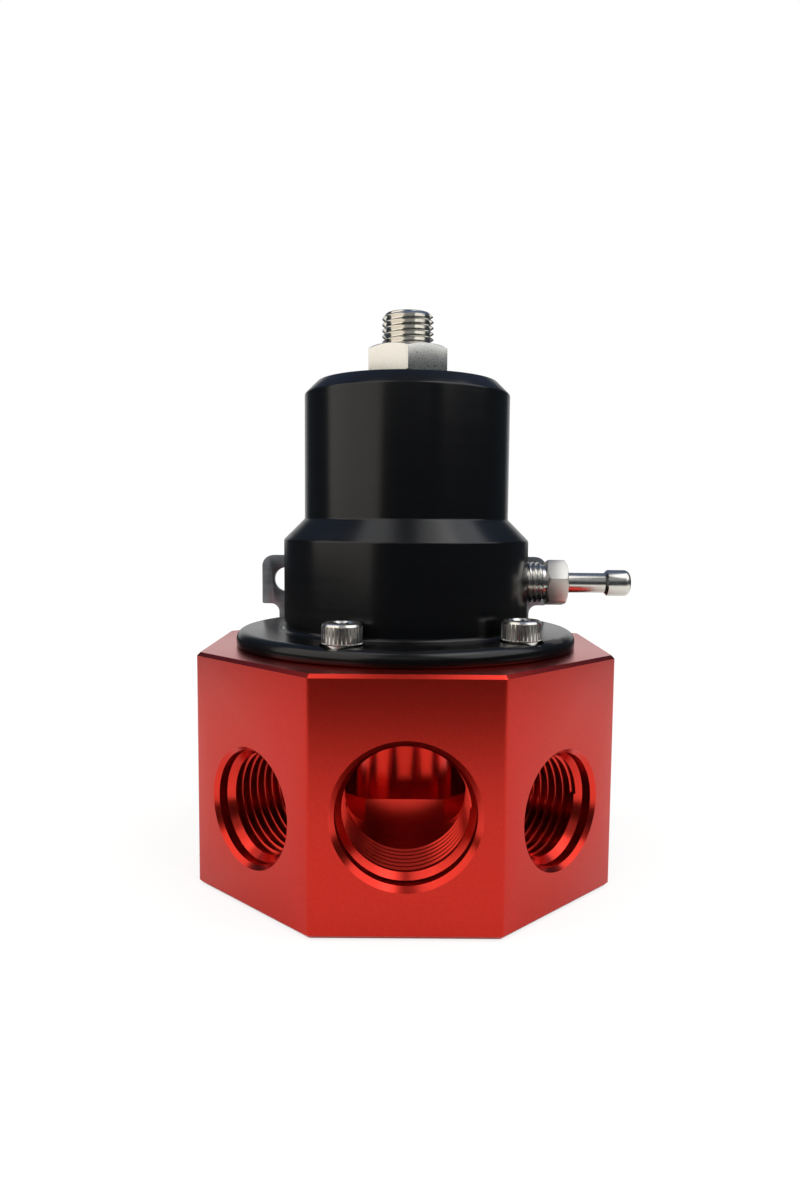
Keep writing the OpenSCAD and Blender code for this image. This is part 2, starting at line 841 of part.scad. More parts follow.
// Pipe plug in the gauge port, just below the face, with a hexagonal key socket
module gauge_plug() {
    plug_inset = 0.6;
    key_flats = 4.76;
    key_depth = 4;
    color("#9da0a3")
        on_face(gauge_bearing, gauge_height)
            translate([0, 0, -plug_inset - plug_length])
                difference() {
                    cylinder(r = gauge_radius - running_gap, h = plug_length);
                    translate([0, 0, plug_length - key_depth])
                        hexagon(key_flats, key_depth + overshoot);
                }
}

body();
valve_seat();
seat_ring();
valve_disc();
valve_holder();
diaphragm();
upper_plate();
stem_nut();
main_spring();
spring_button();
adjusting_screw();
seal_washer();
jam_nut();
bonnet();
cap_screws();
reference_nipple();
bracket();
bracket_washers();
bracket_screws();
gauge_plug();
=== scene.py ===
# Bypass fuel pressure regulator, dressed on its imported frame. Metres, +Z up, the inlet faces -Y.
# The frame comes first.
import math

import bpy
from mathutils import Matrix, Vector


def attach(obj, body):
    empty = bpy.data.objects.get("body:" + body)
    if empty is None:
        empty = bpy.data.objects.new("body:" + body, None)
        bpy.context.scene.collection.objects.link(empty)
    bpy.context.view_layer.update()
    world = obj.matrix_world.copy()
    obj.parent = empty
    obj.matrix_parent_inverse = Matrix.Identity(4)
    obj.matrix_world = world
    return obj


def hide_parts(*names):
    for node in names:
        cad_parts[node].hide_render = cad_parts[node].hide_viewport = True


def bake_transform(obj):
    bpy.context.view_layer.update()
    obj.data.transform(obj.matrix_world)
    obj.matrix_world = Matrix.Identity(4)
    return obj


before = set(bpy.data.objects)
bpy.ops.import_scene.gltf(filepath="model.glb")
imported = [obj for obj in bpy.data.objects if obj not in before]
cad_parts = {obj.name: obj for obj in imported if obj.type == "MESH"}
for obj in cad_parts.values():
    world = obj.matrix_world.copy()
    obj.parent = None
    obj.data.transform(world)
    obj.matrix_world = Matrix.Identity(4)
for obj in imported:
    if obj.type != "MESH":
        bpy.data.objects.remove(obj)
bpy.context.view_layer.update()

# Body: the manifold block, cut from octagonal aluminium bar and milled on all sides, then bored and
# tapped from six sides and from below, and anodised red. Every other piece is fixed to it.
mm = 0.001
body_flats = 73.0
body_height = 41.5
body_bevel = 0.6
upright_bevel = 0.39
face = body_flats / 2
port_pitch = 1.5875
port_depth = 19.8
square_port_depth = 19.3
large_root = 11.1
large_crest = 10.15
large_mouth = 11.97
large_seal_depth = 2.95
large_cone_depth = 4.0
small_root = 9.5
small_crest = 8.6
small_mouth = 10.2
small_seal_depth = 2.3
small_cone_depth = 3.45
inlet_level = 19.4
outlet_level = 17.2
return_bevel = 0.85
return_depth = 11
passage_radius = 4.6
passage_low = 14.4
seat_bore = 7.05
seat_floor = 27
standpipe_radius = 9.5
standpipe_top = 33
chamber = 19.05
chamber_floor = 16
recess_radius = 25.2
recess_floor = 40.5
gauge_bearing = 135
gauge_level = 22
gauge_bore = 4.9
gauge_bevel = 0.4
gauge_depth = 10
gauge_drill = 2.4
gauge_drill_depth = 18


def draw(name, points, closed):
    """Draws a chain of edges through points (x, z) in mm and leaves it in edit mode."""
    bpy.ops.object.select_all(action="DESELECT")
    bpy.ops.mesh.primitive_plane_add(size=mm)
    piece = bpy.context.object
    piece.name = name
    bpy.ops.object.mode_set(mode="EDIT")
    bpy.ops.mesh.select_mode(type="VERT")
    bpy.ops.mesh.select_all(action="SELECT")
    bpy.ops.mesh.merge(type="CENTER")
    first_x, first_z = points[0]
    bpy.ops.transform.translate(value=(first_x * mm, 0, first_z * mm))
    way = points + points[:1] if closed else points
    for (x, z), (next_x, next_z) in zip(way, way[1:]):
        move = ((next_x - x) * mm, 0, (next_z - z) * mm)
        bpy.ops.mesh.extrude_vertices_move(TRANSFORM_OT_translate={"value": move})
    bpy.ops.mesh.select_all(action="SELECT")
    bpy.ops.mesh.remove_doubles(threshold=0.001 * mm)
    return piece


def leave_edit():
    """Points the faces of the piece in edit mode outwards and leaves edit mode."""
    bpy.ops.mesh.select_all(action="SELECT")
    bpy.ops.mesh.normals_make_consistent(inside=False)
    bpy.ops.object.mode_set(mode="OBJECT")


def turn(name, outline, facets=128, closed=False):
    """Turns an outline of (radius, height) in mm round +Z, as on a lathe."""
    piece = draw(name, outline, closed)
    bpy.ops.mesh.spin(steps=facets, angle=2 * math.pi, center=(0, 0, 0), axis=(0, 0, 1))
    bpy.ops.mesh.select_all(action="SELECT")
    bpy.ops.mesh.remove_doubles(threshold=0.001 * mm)
    leave_edit()
    return piece


def pick(piece):
    """Makes a piece the only one chosen."""
    bpy.ops.object.select_all(action="DESELECT")
    piece.select_set(True)
    bpy.context.view_layer.objects.active = piece


def set_down(piece, place):
    """Moves a piece by a matrix and puts the move into its mesh."""
    piece.matrix_world = place @ piece.matrix_world
    pick(piece)
    bpy.ops.object.transform_apply(location=True, rotation=True, scale=True)
    return piece


def bar(name, sides, flats, low, high, bearing=0):
    """A length of bar with flat sides, upright between two heights in mm and turned by degrees."""
    bpy.ops.object.select_all(action="DESELECT")
    bpy.ops.mesh.primitive_cylinder_add(
        vertices=sides,
        radius=flats / 2 / math.cos(math.pi / sides) * mm,
        depth=(high - low) * mm,
        location=(0, 0, (low + high) / 2 * mm),
        rotation=(0, 0, math.radians(bearing)),
    )
    piece = bpy.context.object
    piece.name = name
    return set_down(piece, Matrix.Identity(4))


def on_face(bearing, level):
    """The place on a side face of the body, at a bearing from the inlet, with +Z outwards."""
    round_body = Matrix.Rotation(math.radians(bearing), 4, "Z")
    out_to_face = Matrix.Translation((0, -face * mm, level * mm))
    return round_body @ out_to_face @ Matrix.Rotation(math.radians(90), 4, "X")


def run_modifier(piece, modifier):
    """Applies a modifier to a piece."""
    pick(piece)
    bpy.ops.object.modifier_apply(modifier=modifier.name)


def carve(piece, *tools, way="DIFFERENCE"):
    """Cuts a piece with tools, or joins them or keeps what they share, and throws the tools away."""
    rack = bpy.data.collections.new("tool_rack")
    for tool in tools:
        rack.objects.link(tool)
    cut = piece.modifiers.new("cut", "BOOLEAN")
    cut.operation = way
    cut.solver = "EXACT"
    cut.operand_type = "COLLECTION"
    cut.collection = rack
    run_modifier(piece, cut)
    for tool in tools:
        bpy.data.objects.remove(tool)
    bpy.data.collections.remove(rack)


def coil(name, section, pitch, turns, steps):
    """Winds a closed section of (radius, height) in mm round +Z with a pitch in mm, and closes its ends."""
    piece = draw(name, section, True)
    bpy.ops.object.mode_set(mode="OBJECT")
    winding = piece.modifiers.new("winding", "SCREW")
    winding.axis = "Z"
    winding.angle = 2 * math.pi
    winding.screw_offset = pitch * mm
    winding.iterations = turns
    winding.steps = steps
    winding.render_steps = steps
    winding.use_merge_vertices = False
    run_modifier(piece, winding)
    bpy.ops.object.mode_set(mode="EDIT")
    bpy.ops.mesh.select_all(action="SELECT")
    bpy.ops.mesh.fill_holes(sides=len(section))
    leave_edit()
    return piece


def smooth(piece, degrees=30):
    """Shades a piece smooth, and leaves every edge sharper than an angle crisp."""
    pick(piece)
    bpy.ops.object.shade_smooth_by_angle(angle=math.radians(degrees))


# A small turn keeps the facets of a thread tool off the facets of its bore.
off_seam = Matrix.Rotation(math.radians(1.1), 4, "Z")


def inner_thread(name, crest, root, first, turns):
    """The tool that cuts an inner thread below the face at +Z, from a depth in mm."""
    # Each point of a flank is a radius and half the width of the groove there.
    flank = [(crest - 0.1, 0.62), (crest + 0.05, 0.545), (crest + 0.22, 0.43), (root, 0.1)]
    section = [(radius, -first - half_width) for radius, half_width in flank]
    section += [(radius, -first + half_width) for radius, half_width in reversed(flank)]
    return set_down(coil(name, section, -port_pitch, turns, 96), off_seam)


def port_tool(name, mouth, wall, wall_depth, crest, crest_depth, depth):
    """The form drill of a port: bevelled mouth, seal wall, seat cone and drilled end with a flat floor."""
    outline = [
        (0, 1),
        (mouth, 1),
        (mouth, 0),
        (wall, wall - mouth),
        (wall, -wall_depth),
        (crest, -crest_depth),
        (crest, -depth),
        (0, -depth),
    ]
    return turn(name, outline)


def choose_edges(piece, test):
    """Opens edit mode with only those edges chosen whose two ends pass a test."""
    pick(piece)
    bpy.ops.object.mode_set(mode="EDIT")
    bpy.ops.mesh.select_mode(type="EDGE")
    bpy.ops.mesh.select_all(action="DESELECT")
    bpy.ops.object.mode_set(mode="OBJECT")
    corners = piece.data.vertices
    for edge in piece.data.edges:
        start, end = [corners[k].co / mm for k in edge.vertices]
        edge.select = test(start, end)
    bpy.ops.object.mode_set(mode="EDIT")


body = bar("manifold_body", 8, body_flats, 0, body_height, 22.5)
choose_edges(body, lambda start, end: abs(start.z - end.z) > 1)
bpy.ops.mesh.bevel(offset=upright_bevel * mm, segments=3, affect="EDGES")
bpy.ops.object.mode_set(mode="OBJECT")
choose_edges(body, lambda start, end: abs(start.z - end.z) < 0.01)
bpy.ops.mesh.bevel(offset=body_bevel * mm, segments=1, affect="EDGES")
bpy.ops.object.mode_set(mode="OBJECT")
core_outline = [
    (0, -1),
    (large_root + return_bevel, -1),
    (large_root + return_bevel, 0),
    (large_root, return_bevel),
    (large_root, large_seal_depth),
    (large_crest, large_cone_depth),
    (large_crest, return_depth),
    (passage_radius, passage_low),
    (passage_radius, seat_floor),
    (seat_bore, seat_floor),
    (seat_bore, standpipe_top),
    (standpipe_radius, standpipe_top),
    (standpipe_radius, chamber_floor),
    (chamber, chamber_floor),
    (chamber, recess_floor),
    (recess_radius, recess_floor),
    (recess_radius, body_height + 1),
    (0, body_height + 1),
]
# 150 facets keep the seams of the core off those of the ports, which have 128.
tools = [turn("core_tool", core_outline, 150)]
inlet_tool = port_tool(
    "inlet_tool", large_mouth, large_root, large_seal_depth, large_crest, large_cone_depth, port_depth
)
inlet_tap = inner_thread("inlet_tap", large_crest, large_root, first=4.2, turns=6)
tools.append(set_down(inlet_tool, on_face(0, inlet_level)))
tools.append(set_down(inlet_tap, on_face(0, inlet_level)))
for bearing, depth in [
    (-45, port_depth),
    (45, port_depth),
    (-90, square_port_depth),
    (90, square_port_depth),
]:
    outlet_tool = port_tool(
        "outlet_tool", small_mouth, small_root, small_seal_depth, small_crest, small_cone_depth, depth
    )
    outlet_tap = inner_thread("outlet_tap", small_crest, small_root, first=3.65, turns=6)
    tools.append(set_down(outlet_tool, on_face(bearing, outlet_level)))
    tools.append(set_down(outlet_tap, on_face(bearing, outlet_level)))
gauge_outline = [
    (0, 1),
    (gauge_bore + gauge_bevel, 1),
    (gauge_bore + gauge_bevel, 0),
    (gauge_bore, -gauge_bevel),
    (gauge_bore, -gauge_depth),
    (gauge_drill, -gauge_depth),
    (gauge_drill, -gauge_drill_depth),
    (0, -gauge_drill_depth),
]
tools.append(set_down(turn("gauge_tool", gauge_outline), on_face(gauge_bearing, gauge_level)))
return_tap = inner_thread("return_tap", large_crest, large_root, first=4.75, turns=3)
tools.append(set_down(return_tap, Matrix.Rotation(math.pi, 4, "X")))
carve(body, *tools)
smooth(body)


def linear(code):
    """A colour written as sRGB hex, in the linear values that a shader takes."""
    parts = [int(code[k : k + 2], 16) / 255 for k in (1, 3, 5)]
    light = [part / 12.92 if part <= 0.04045 else ((part + 0.055) / 1.055) ** 2.4 for part in parts]
    return (*light, 1)


def feed(tree, node, links):
    """Links the outputs of other nodes to the inputs of a node."""
    for name, source in links.items():
        tree.links.new(source, node.inputs[name])


def add_node(tree, kind, settings, links):
    """Adds a node, with settings for its options and free inputs, and links for the inputs that are fed."""
    node = tree.nodes.new(kind)
    for name, value in settings.items():
        if isinstance(name, str) and hasattr(node, name):
            setattr(node, name, value)
        else:
            node.inputs[name].default_value = value
    feed(tree, node, links)
    return node


def new_finish(name, settings):
    """Starts a material: its node tree, its shader with constant values, and the piece's coordinates."""
    finish = bpy.data.materials.new(name)
    finish.use_nodes = True
    tree = finish.node_tree
    shader = tree.nodes["Principled BSDF"]
    for socket, value in settings.items():
        shader.inputs[socket].default_value = value
    place = add_node(tree, "ShaderNodeTexCoord", {}, {}).outputs["Object"]
    return finish, tree, shader, place


def dress(piece, finish):
    """Gives a piece one material."""
    piece.data.materials.clear()
    piece.data.materials.append(finish)


# Red anodised aluminium, face milled: a dyed oxide skin over bright metal. The eye gets a deep red mirror
# blurred by a fine satin grain, faint cutter arcs, and a thin pale gloss from the sealed skin. The dye's
# spots are about 0.1 mm across on the real part and are drawn at 0.35 mm so that they show.
red_anodised, tree, shader, place = new_finish(
    "red_anodised_milled_aluminium",
    {"Metallic": 1.0, "Coat Weight": 0.35, "Coat Roughness": 0.25},
)
cloud = add_node(tree, "ShaderNodeTexNoise", {"Scale": 1 / (0.35 * mm), "Detail": 4}, {"Vector": place})
colours = {"data_type": "RGBA", 6: linear("#b01b0c"), 7: linear("#ca2615")}
tone = add_node(tree, "ShaderNodeMix", colours, {0: cloud.outputs[0]})
# The satin grain is about 0.05 mm on the real part and is drawn at 0.3 mm so that it shows.
streak_room = add_node(
    tree,
    "ShaderNodeMapping",
    {"Rotation": (0, math.radians(20), 0), "Scale": (0.2, 0.2, 1)},
    {"Vector": place},
)
grain = add_node(
    tree, "ShaderNodeTexNoise", {"Scale": 1 / (0.3 * mm), "Detail": 3}, {"Vector": streak_room.outputs[0]}
)
satin = add_node(tree, "ShaderNodeMapRange", {"To Min": 0.26, "To Max": 0.33}, {"Value": grain.outputs[0]})
arcs = add_node(
    tree,
    "ShaderNodeTexWave",
    {
        "wave_type": "RINGS",
        "rings_direction": "SPHERICAL",
        "Scale": 1 / (9 * mm),
        "Distortion": 1.5,
        "Detail": 2,
    },
    {"Vector": place},
)
marks = add_node(
    tree,
    "ShaderNodeMath",
    {"operation": "MULTIPLY_ADD", 1: 0.3},
    {0: arcs.outputs[1], 2: cloud.outputs[0]},
)
relief = add_node(
    tree, "ShaderNodeBump", {"Strength": 0.1, "Distance": 0.02 * mm}, {"Height": marks.outputs[0]}
)
feed(
    tree,
    shader,
    {"Base Color": tone.outputs[2], "Roughness": satin.outputs[0], "Normal": relief.outputs[0]},
)
dress(body, red_anodised)
# The same skin in the bores and threads, where the tool left brighter metal: a clearer mirror.
red_bored, tree, shader, place = new_finish(
    "red_anodised_bored_aluminium", {"Metallic": 1.0, "Coat Weight": 0.4, "Coat Roughness": 0.2}
)
cloud = add_node(tree, "ShaderNodeTexNoise", {"Scale": 1 / (6 * mm), "Detail": 2}, {"Vector": place})
colours = {"data_type": "RGBA", 6: linear("#cc2210"), 7: linear("#d62a18")}
tone = add_node(tree, "ShaderNodeMix", colours, {0: cloud.outputs[0]})
grain = add_node(tree, "ShaderNodeTexNoise", {"Scale": 1 / (0.4 * mm), "Detail": 3}, {"Vector": place})
shine = add_node(tree, "ShaderNodeMapRange", {"To Min": 0.2, "To Max": 0.26}, {"Value": grain.outputs[0]})
feed(tree, shader, {"Base Color": tone.outputs[2], "Roughness": shine.outputs[0]})
# The same skin in the core, turned: fine tool rings round the standpipe draw each reflection out upright.
red_turned, tree, shader, place = new_finish(
    "red_anodised_turned_aluminium",
    {
        "Metallic": 1.0,
        "Anisotropic": 0.7,
        "Anisotropic Rotation": 0.25,
        "Coat Weight": 0.3,
        "Coat Roughness": 0.3,
    },
)
cloud = add_node(tree, "ShaderNodeTexNoise", {"Scale": 1 / (0.35 * mm), "Detail": 2}, {"Vector": place})
colours = {"data_type": "RGBA", 6: linear("#d02210"), 7: linear("#d82816")}
tone = add_node(tree, "ShaderNodeMix", colours, {0: cloud.outputs[0]})
shine = add_node(tree, "ShaderNodeMapRange", {"To Min": 0.22, "To Max": 0.25}, {"Value": cloud.outputs[0]})
lathe = add_node(tree, "ShaderNodeTangent", {"direction_type": "RADIAL", "axis": "Z"}, {})
feed(
    tree,
    shader,
    {"Base Color": tone.outputs[2], "Roughness": shine.outputs[0], "Tangent": lathe.outputs[0]},
)
body.data.materials.append(red_bored)
body.data.materials.append(red_turned)
sides = [(math.sin(k * math.pi / 4), math.cos(k * math.pi / 4)) for k in range(8)]
for panel in body.data.polygons:
    x, y, z = panel.center / mm
    under_face = face - max(x * side_x + y * side_y for side_x, side_y in sides)
    under_skin = min(under_face, z, body_height - z)
    in_core = z > chamber_floor - 0.1 and math.hypot(x, y) < chamber + 0.1
    panel.material_index = 2 if in_core else 1 if under_skin > 0.2 else 0
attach(body, "housing")
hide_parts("body")

# Valve seat, seal ring, valve disc, holder and stem nut: the turned metal and rubber inside the chamber.
# They keep their CAD solids, and each gets the finish of its own metal or rubber.


def grained(name, settings, grain, detail, roughness, colours=None, stretch=None):
    """A finish whose roughness, and colour where two are given, follow one grain of a size in mm."""
    finish, tree, shader, place = new_finish(name, settings)
    if stretch:
        place = add_node(tree, "ShaderNodeMapping", {"Scale": stretch}, {"Vector": place}).outputs[0]
    noise = add_node(
        tree, "ShaderNodeTexNoise", {"Scale": 1 / (grain * mm), "Detail": detail}, {"Vector": place}
    )
    span = {"To Min": roughness[0], "To Max": roughness[1]}
    gloss = add_node(tree, "ShaderNodeMapRange", span, {"Value": noise.outputs[0]})
    feed(tree, shader, {"Roughness": gloss.outputs[0]})
    if colours:
        pair = [linear(code) for code in colours]
        tones = {"data_type": "RGBA", 6: pair[0], 7: pair[1]}
        tone = add_node(tree, "ShaderNodeMix", tones, {0: noise.outputs[0]})
        feed(tree, shader, {"Base Color": tone.outputs[2]})
    return finish


# Stainless steel, turned: a bright grey metal with fine tool marks that blur its mirror.
turned_steel = grained(
    "stainless_steel_turned",
    {"Base Color": linear("#b9b7b2"), "Metallic": 1.0},
    grain=0.4,
    detail=3,
    roughness=(0.18, 0.32),
)
dress(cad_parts["valve_seat"], turned_steel)

# Fluorocarbon rubber, moulded: near black, with a dull sheen and a fine skin.
rubber = grained(
    "fluorocarbon_rubber_moulded",
    {"Base Color": linear("#1b1b1c"), "IOR": 1.52},
    grain=0.5,
    detail=4,
    roughness=(0.5, 0.7),
)
dress(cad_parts["seat_ring"], rubber)
dress(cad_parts["valve_disc"], rubber)

# Brass, turned: a warm yellow metal with fine tool marks that blur its mirror.
brass = grained(
    "brass_turned",
    {"Base Color": linear("#b8964a"), "Metallic": 1.0},
    grain=0.4,
    detail=3,
    roughness=(0.22, 0.36),
)
dress(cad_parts["valve_holder"], brass)

# Zinc plated steel: a pale metal with a fine sparkle from small dents in the plate. They are about 0.1 mm
# across on the real part and are drawn at 0.3 mm so that they show.
zinc, tree, shader, place = new_finish("zinc_plated_steel", {"Metallic": 1.0})
patches = add_node(
    tree, "ShaderNodeTexNoise", {"Scale": 1 / (0.3 * mm), "Detail": 4, "Roughness": 0.7}, {"Vector": place}
)
colours = {"data_type": "RGBA", 6: linear("#d2d1cd"), 7: linear("#ece9e1")}
tone = add_node(tree, "ShaderNodeMix", colours, {0: patches.outputs[0]})
dull = add_node(tree, "ShaderNodeMapRange", {"To Min": 0.2, "To Max": 0.38}, {"Value": patches.outputs[0]})
dents = add_node(
    tree, "ShaderNodeBump", {"Strength": 0.3, "Distance": 0.03 * mm}, {"Height": patches.outputs[0]}
)
feed(
    tree,
    shader,
    {"Base Color": tone.outputs[2], "Roughness": dull.outputs[0], "Normal": dents.outputs[0]},
)
for name in ["stem_nut", "upper_plate", "spring_button"]:
    dress(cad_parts[name], zinc)

# Diaphragm: a disc of rubberised woven fabric. Its rim is clamped between bonnet and body and its middle
# between two plates. The free fold between them is made as eight like pieces.
diaphragm_low = recess_floor
diaphragm_high = body_height
stem_hole = 3.05
fold_inner = 15.0
fold_outer = chamber
rim_outer = 25.05
fold_gap = 0.02
fold_pieces = 8
fold_rings = 6
fold_angle = 2 * math.pi / fold_pieces


def flat_section(radii):
    """The closed section of a flat ring of the fabric, through radii in mm from the inside out."""
    lower = [(radius, diaphragm_low) for radius in radii]
    return lower + [(radius, diaphragm_high) for radius in reversed(radii)]


def copy_of(master, name):
    """A copy of a piece, with its own mesh."""
    copy = master.copy()
    copy.data = master.data.copy()
    copy.name = name
    bpy.context.scene.collection.objects.link(copy)
    return copy


diaphragm_middle = turn("diaphragm_middle", flat_section([stem_hole, fold_inner - fold_gap]), 96, True)
diaphragm_rim = turn("diaphragm_rim", flat_section([fold_outer + fold_gap, rim_outer]), 96, True)
fold_radii = [fold_inner + (fold_outer - fold_inner) * k / fold_rings for k in range(fold_rings + 1)]
fold = draw("diaphragm_fold", flat_section(fold_radii), True)
bpy.ops.mesh.edge_face_add()
bpy.ops.mesh.spin(steps=12, angle=fold_angle - fold_gap / fold_inner, center=(0, 0, 0), axis=(0, 0, 1))
leave_edit()
# Rubber on woven fabric, moulded: a dull amber rubber with the weave showing through.
fabric, tree, shader, place = new_finish("rubberised_woven_fabric", {"Roughness": 0.62, "IOR": 1.5})
weave = add_node(tree, "ShaderNodeTexChecker", {"Scale": 1 / (0.8 * mm)}, {"Vector": place})
colours = {"data_type": "RGBA", 6: linear("#6d5a33"), 7: linear("#7c683d")}
tone = add_node(tree, "ShaderNodeMix", colours, {0: weave.outputs[1]})
threads = add_node(
    tree, "ShaderNodeBump", {"Strength": 0.2, "Distance": 0.08 * mm}, {"Height": weave.outputs[1]}
)
feed(tree, shader, {"Base Color": tone.outputs[2], "Normal": threads.outputs[0]})
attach(diaphragm_middle, "valve_assembly")
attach(diaphragm_rim, "housing")
diaphragm_parts = [diaphragm_middle, diaphragm_rim]
for number in range(fold_pieces):
    copy = copy_of(fold, f"diaphragm_fold_{number + 1}")
    set_down(copy, Matrix.Rotation(number * fold_angle, 4, "Z"))
    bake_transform(copy)
    diaphragm_parts.append(copy)
bpy.data.objects.remove(fold)
for part in diaphragm_parts:
    dress(part, fabric)
    smooth(part)
    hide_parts("diaphragm")

# Main spring: round chrome-silicon wire wound cold, between the plate on the diaphragm and the button.
# It is made as two pieces that meet in a coil.
spring_mean = 11.9
spring_wire = 1.5
spring_low = 43.6
spring_high = 71.9
spring_turns = 7
lower_turns = 3
wire_sides = 20
spring_rise = (spring_high - spring_low - 2 * spring_wire) / spring_turns
spring_join = spring_low + spring_wire + lower_turns * spring_rise


def wind_spring(name, first, turns):
    """Winds whole turns of the spring, from the height in mm of the middle of the wire."""
    angles = [2 * math.pi * k / wire_sides for k in range(wire_sides)]
    wire = [(spring_mean + spring_wire * math.cos(a), first + spring_wire * math.sin(a)) for a in angles]
    winding = coil(name, wire, spring_rise, turns, 64)
    smooth(winding, 40)
    return winding


lower_spring = wind_spring("pressure_spring_lower", spring_low + spring_wire, lower_turns)
upper_spring = wind_spring("pressure_spring_upper", spring_join, spring_turns - lower_turns)
# Spring steel, oil tempered: dark grey metal with a soft, uneven, oily gloss.
spring_steel = grained(
    "oil_tempered_spring_steel",
    {"Base Color": linear("#5c5e62"), "Metallic": 1.0},
    grain=0.6,
    detail=4,
    roughness=(0.3, 0.45),
)
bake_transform(lower_spring)
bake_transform(upper_spring)
for spring in [lower_spring, upper_spring]:
    dress(spring, spring_steel)
    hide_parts("main_spring")

# Bonnet: turned from black anodised aluminium bar, with a rounded flange that four screws clamp onto
# the body. Its tower holds the spring, and its roof is tapped for the adjusting screw.
bonnet_top = 90.0
flange_top = 44.4
flange_radius = 31.75
flange_round = 1.8
skirt_radius = 22.9
skirt_top = 61.0
tower_radius = 19.05
tower_bevel = 2.4
nipple_level = 53.1
nipple_hole = 3.9
nipple_mouth = 4.4
foot = 0.8
rim_bevel = 0.3
stud_bore = 4.81
roof_floor = 85
spring_bore = 15.6
plate_room_top = 46.5
screw_circle = 27.5
cap_bearings = [-22.5, 45, 157.5, 225]
cap_seat = 43.9
spotface_radius = 3.75
screw_hole = 2.2


def arc(centre_x, centre_z, radius, first, last, steps):
    """Points on an arc in mm, from one angle to another in degrees."""
    turns = [math.radians(first + (last - first) * k / steps) for k in range(steps + 1)]
    return [(centre_x + radius * math.cos(angle), centre_z + radius * math.sin(angle)) for angle in turns]


def break_edges(piece, width, segments, sharpness):
    """Bevels the edges of a piece that turn by more than an angle in degrees, by a width in mm."""
    edges = piece.modifiers.new("broken edges", "BEVEL")
    edges.width = width * mm
    edges.segments = segments
    edges.limit_method = "ANGLE"
    edges.angle_limit = math.radians(sharpness)
    run_modifier(piece, edges)


bonnet_outline = [
    (chamber, body_height),
    (flange_radius - rim_bevel, body_height),
    (flange_radius, body_height + rim_bevel),
    *arc(flange_radius - flange_round, flange_top - flange_round, flange_round, 0, 90, 9),
    *arc(skirt_radius + foot, flange_top + foot, foot, 270, 180, 6),
    (skirt_radius, skirt_top),
    (tower_radius, skirt_top + skirt_radius - tower_radius),
    (tower_radius, bonnet_top - tower_bevel),
    (tower_radius - tower_bevel, bonnet_top),
    (stud_bore, bonnet_top),
    (stud_bore, roof_floor),
    (spring_bore, roof_floor),
    (spring_bore, plate_room_top),
    (chamber, plate_room_top),
]
bonnet = turn("spring_bonnet", bonnet_outline, 192, True)
break_edges(bonnet, 0.2, 3, 35)
spotface = [
    (0, 40),
    (screw_hole, 40),
    (screw_hole, cap_seat),
    (spotface_radius, cap_seat),
    (spotface_radius, 48),
    (0, 48),
]
for bearing in cap_bearings:
    round_body = Matrix.Rotation(math.radians(bearing), 4, "Z")
    seat = round_body @ Matrix.Translation((0, -screw_circle * mm, 0))
    carve(bonnet, set_down(turn("spotface_tool", spotface, 64), seat))
side_outline = [(0, 17), (nipple_hole, 17), (nipple_hole, 22.3), (nipple_mouth, 23.5), (0, 23.5)]
side_hole = turn("side_hole_tool", side_outline, 64)
side_place = Matrix.Translation((0, 0, nipple_level * mm)) @ Matrix.Rotation(math.radians(90), 4, "Y")
carve(bonnet, set_down(side_hole, side_place))
smooth(bonnet, 25)
# Black anodised aluminium, fine turned: a dyed oxide skin, nearly black, that mirrors softly at a slant.
# The tool rings are about 0.1 mm apart and are drawn at 0.45 mm so that they show.
black_anodised, tree, shader, place = new_finish(
    "black_anodised_turned_aluminium", {"IOR": 1.45, "Specular IOR Level": 0.45}
)
soft_cloud = add_node(tree, "ShaderNodeTexNoise", {"Scale": 1 / (9 * mm), "Detail": 2}, {"Vector": place})
colours = {"data_type": "RGBA", 6: linear("#050506"), 7: linear("#080809")}
tone = add_node(tree, "ShaderNodeMix", colours, {0: soft_cloud.outputs[0]})
ring_room = add_node(tree, "ShaderNodeMapping", {"Scale": (0.02, 0.02, 1)}, {"Vector": place})
rings = add_node(
    tree, "ShaderNodeTexNoise", {"Scale": 1 / (0.45 * mm), "Detail": 2}, {"Vector": ring_room.outputs[0]}
)
satin = add_node(tree, "ShaderNodeMapRange", {"To Min": 0.16, "To Max": 0.26}, {"Value": rings.outputs[0]})
relief = add_node(
    tree, "ShaderNodeBump", {"Strength": 0.05, "Distance": 0.02 * mm}, {"Height": rings.outputs[0]}
)
feed(
    tree,
    shader,
    {"Base Color": tone.outputs[2], "Roughness": satin.outputs[0], "Normal": relief.outputs[0]},
)
dress(bonnet, black_anodised)
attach(bonnet, "housing")
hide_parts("bonnet")

# Cap screws: four stainless socket head screws, cold headed with a straight knurl, that clamp the flange.
# One is modelled and copied to the four spotfaces.
cap_radius = 3.35
cap_height = 4.2
cap_shank = 2.05
cap_length = 12.7
cap_key_flats = 3.57
cap_key_depth = 2
point_bevel = 0.4
